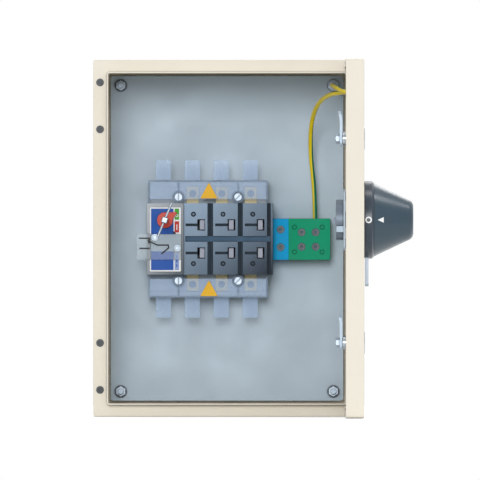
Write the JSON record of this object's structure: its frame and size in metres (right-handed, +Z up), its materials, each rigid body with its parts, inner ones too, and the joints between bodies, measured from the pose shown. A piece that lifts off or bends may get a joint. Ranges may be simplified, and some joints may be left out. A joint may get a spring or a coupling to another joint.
{
  "type": "enclosed isolator switch",
  "caption": "Wall-mounted sheet-steel enclosure with an open hinged door, a rotary isolator switch inside and its padlockable handle on the door.",
  "frame": {"origin": "on the back of the box, in the middle of the four wall fixing holes", "axes": "+X to the right as seen from the front, +Y into the wall, +Z up"},
  "size_m": [0.357, 0.5049, 0.4],
  "materials": {
    "coated_steel": "satin",
    "zinc_plate": "satin",
    "zinc_steel": "satin",
    "hinge_metal": "satin",
    "grey_cast_metal": "satin",
    "chrome_plate": "polished",
    "bright_steel": "polished",
    "black_rubber": "matt",
    "foam_gasket": "matt",
    "black_plastic": "satin",
    "handle_plastic": "satin",
    "housing_plastic": "satin",
    "carriage_plastic": "satin",
    "clear_plastic": "clear",
    "blue_plastic": "satin",
    "green_plastic": "satin",
    "red_plastic": "gloss",
    "yellow_plastic": "satin",
    "label_film": "satin",
    "wire_insulation": "satin",
    "tinned_copper": "satin",
    "plain_brass": "satin"
  },
  "bodies": {
    "enclosure": {"body_shell": "coated_steel", "gland_gasket": "black_rubber", "gland_plate": "coated_steel", "gland_screws": "zinc_steel", "rim_plugs": "black_plastic", "mounting_plate": "zinc_plate", "plate_studs": "zinc_steel", "plate_washers": "zinc_steel", "plate_nuts": "zinc_steel", "hinge_body_leaves": "hinge_metal", "hinge_screws": "zinc_steel", "switch_base": "housing_plastic", "switch_screws": "zinc_steel", "pole_cover": "housing_plastic", "mechanism_cover": "housing_plastic", "shaft_bush": "black_plastic", "label_plate": "label_film", "fixed_contacts_top": "tinned_copper", "fixed_contacts_bottom": "tinned_copper", "shroud_top": "clear_plastic", "shroud_bottom": "clear_plastic", "cover_screws": "zinc_steel", "triangle_plates": "yellow_plastic", "aux_cover": "housing_plastic", "neutral_block": "blue_plastic", "earth_block": "green_plastic", "block_bars": "plain_brass", "block_screws": "zinc_steel", "earth_wire_long": "wire_insulation", "earth_wire_short": "wire_insulation", "plate_ring_terminal": "tinned_copper"},
    "door": {"door_panel": "coated_steel", "hinge_door_blocks": "hinge_metal", "hinge_pins": "zinc_steel", "door_gasket": "foam_gasket", "lock_housings": "chrome_plate", "handle_flange": "black_plastic", "flange_gasket": "black_rubber", "backing_plate": "zinc_plate", "spacer_sleeves": "zinc_steel", "flange_screws": "zinc_steel", "interlock_ring": "grey_cast_metal", "door_earth_studs": "zinc_steel", "door_stud_nuts": "zinc_steel", "door_ring_terminals": "tinned_copper"},
    "latch_top": {"latch_core_top": "chrome_plate", "latch_tongue_top": "bright_steel", "latch_nut_top": "zinc_steel"},
    "latch_bottom": {"latch_core_bottom": "chrome_plate", "latch_tongue_bottom": "bright_steel", "latch_nut_bottom": "zinc_steel"},
    "handle": {"handle_grip": "handle_plastic", "drive_socket": "black_plastic"},
    "lock_tab": {"padlock_tab": "bright_steel"},
    "shaft": {"drive_shaft": "zinc_steel", "cross_pin": "zinc_steel", "position_pointer": "red_plastic", "drive_crank": "black_plastic"},
    "carriage": {"contact_carriage": "carriage_plastic", "moving_contacts": "tinned_copper"}
  },
  "joints": [
    {"name": "door_hinge", "type": "hinge", "parent": "enclosure", "child": "door", "pos_m": [0.1429, -0.213, 0], "axis": [0, 0, 1], "range_deg": [-90, 35], "deforming": ["earth_wire_long", "earth_wire_short"]},
    {"name": "latch_top_turn", "type": "hinge", "parent": "door", "child": "latch_top", "pos_m": [0.14, -0.4709, 0.1105], "axis": [1, 0, 0], "range_deg": [0, 90]},
    {"name": "latch_bottom_turn", "type": "hinge", "parent": "door", "child": "latch_bottom", "pos_m": [0.14, -0.4709, -0.1155], "axis": [1, 0, 0], "range_deg": [0, 90]},
    {"name": "handle_turn", "type": "hinge", "parent": "door", "child": "handle", "pos_m": [0.16, -0.4258, 0.0205], "axis": [-1, 0, 0], "range_deg": [0, 90]},
    {"name": "tab_slide", "type": "slide", "parent": "door", "child": "lock_tab", "axis": [0, 0, 1], "range_m": [0, 0.02]},
    {"name": "shaft_turn", "type": "hinge", "parent": "enclosure", "child": "shaft", "pos_m": [-0.0699, -0.15, 0.0205], "axis": [0, 1, 0], "range_deg": [0, 90]},
    {"name": "carriage_slide", "type": "slide", "parent": "enclosure", "child": "carriage", "axis": [-1, 0, 0], "range_m": [0, 0.01132]}
  ],
  "couplings": [
    {"joint": "shaft_turn", "follows": "handle_turn", "ratio": 1},
    {"joint": "carriage_slide", "follows": "handle_turn", "m_per_rad": 0.0072025}
  ]
}
